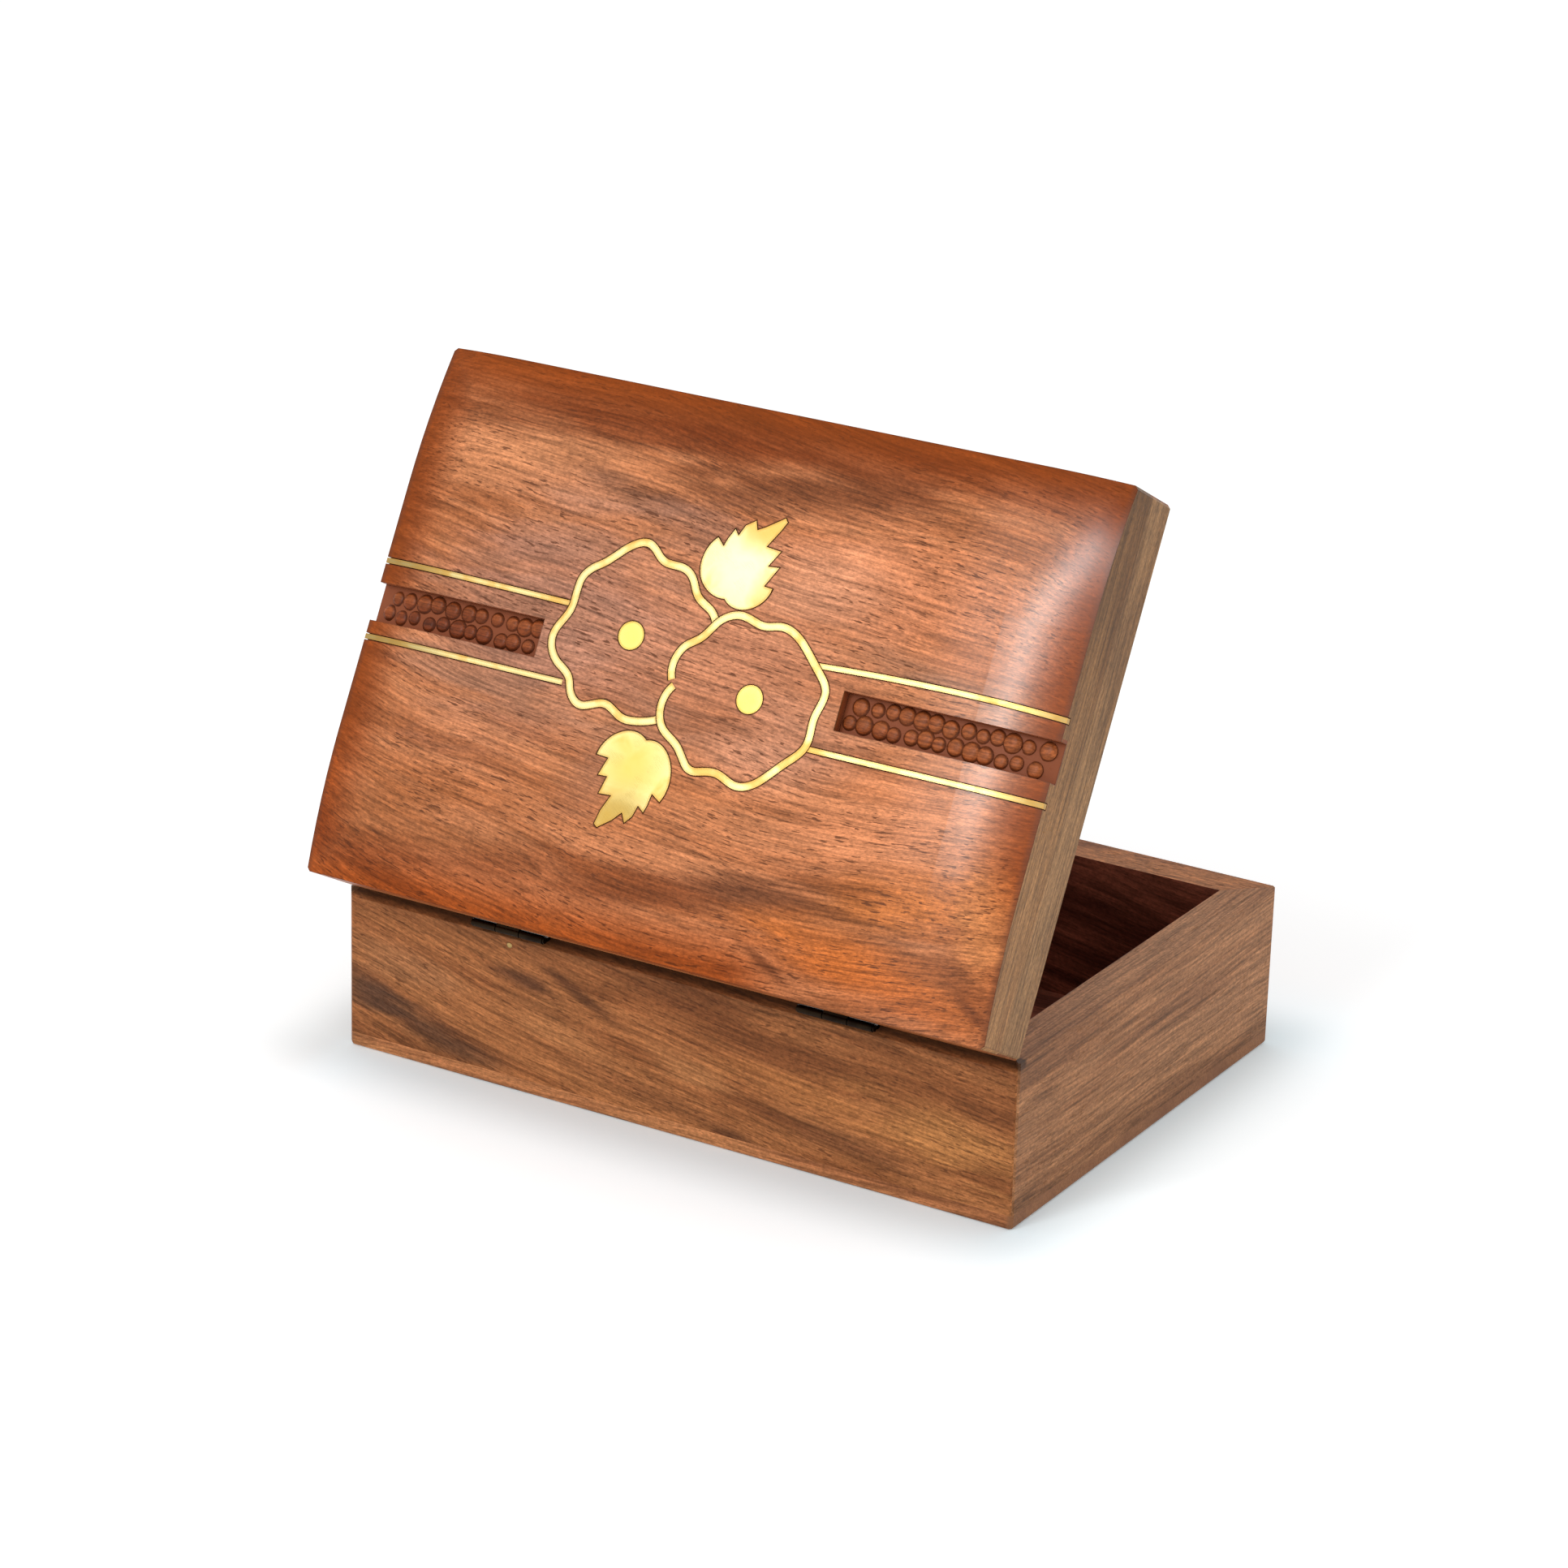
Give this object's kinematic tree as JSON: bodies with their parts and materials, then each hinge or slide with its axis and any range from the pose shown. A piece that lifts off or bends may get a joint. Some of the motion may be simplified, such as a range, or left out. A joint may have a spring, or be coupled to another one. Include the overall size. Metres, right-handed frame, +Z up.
{
  "type": "inlaid wooden box",
  "caption": "Rectangular wooden keepsake box with mitred walls and a hinged domed lid, inlaid with brass flowers, leaves and strips beside carved bands.",
  "frame": {"origin": "middle of the underside of the base board", "axes": "+Z up, +X along the long side, +Y from the front towards the hinged back; the lid is stored open as in the picture"},
  "size_m": [0.178, 0.1441, 0.1613],
  "materials": {
    "body_wood": "satin oiled hardwood with straight dark streaks",
    "lid_wood": "polished red-brown hardwood with short dark pores",
    "inlay_brass": "filed flush and polished",
    "hinge_brass": "plain brass"
  },
  "bodies": {
    "box": {"base_board": "body_wood", "front_wall": "body_wood", "back_wall": "body_wood", "left_wall": "body_wood", "right_wall": "body_wood", "left_hinge_box_leaf": "hinge_brass", "right_hinge_box_leaf": "hinge_brass", "left_hinge_pin": "hinge_brass", "right_hinge_pin": "hinge_brass"},
    "lid": {"lid_top": "lid_wood", "lid_front_rail": "lid_wood", "lid_back_rail": "lid_wood", "lid_left_rail": "lid_wood", "lid_right_rail": "lid_wood", "left_hinge_lid_leaf": "hinge_brass", "right_hinge_lid_leaf": "hinge_brass", "flower_ring": "inlay_brass", "flower_open_wire": "inlay_brass", "ring_centre_disc": "inlay_brass", "open_flower_centre_disc": "inlay_brass", "front_leaf": "inlay_brass", "back_leaf": "inlay_brass", "strip_front_left": "inlay_brass", "strip_front_right": "inlay_brass", "strip_back_left": "inlay_brass", "strip_back_right": "inlay_brass"}
  },
  "joints": [
    {"name": "lid_hinge", "type": "hinge", "parent": "box", "child": "lid", "pos_m": [0, 0.06375, 0.04], "axis": [-1, 0, 0], "range_deg": [-62, 118]}
  ]
}
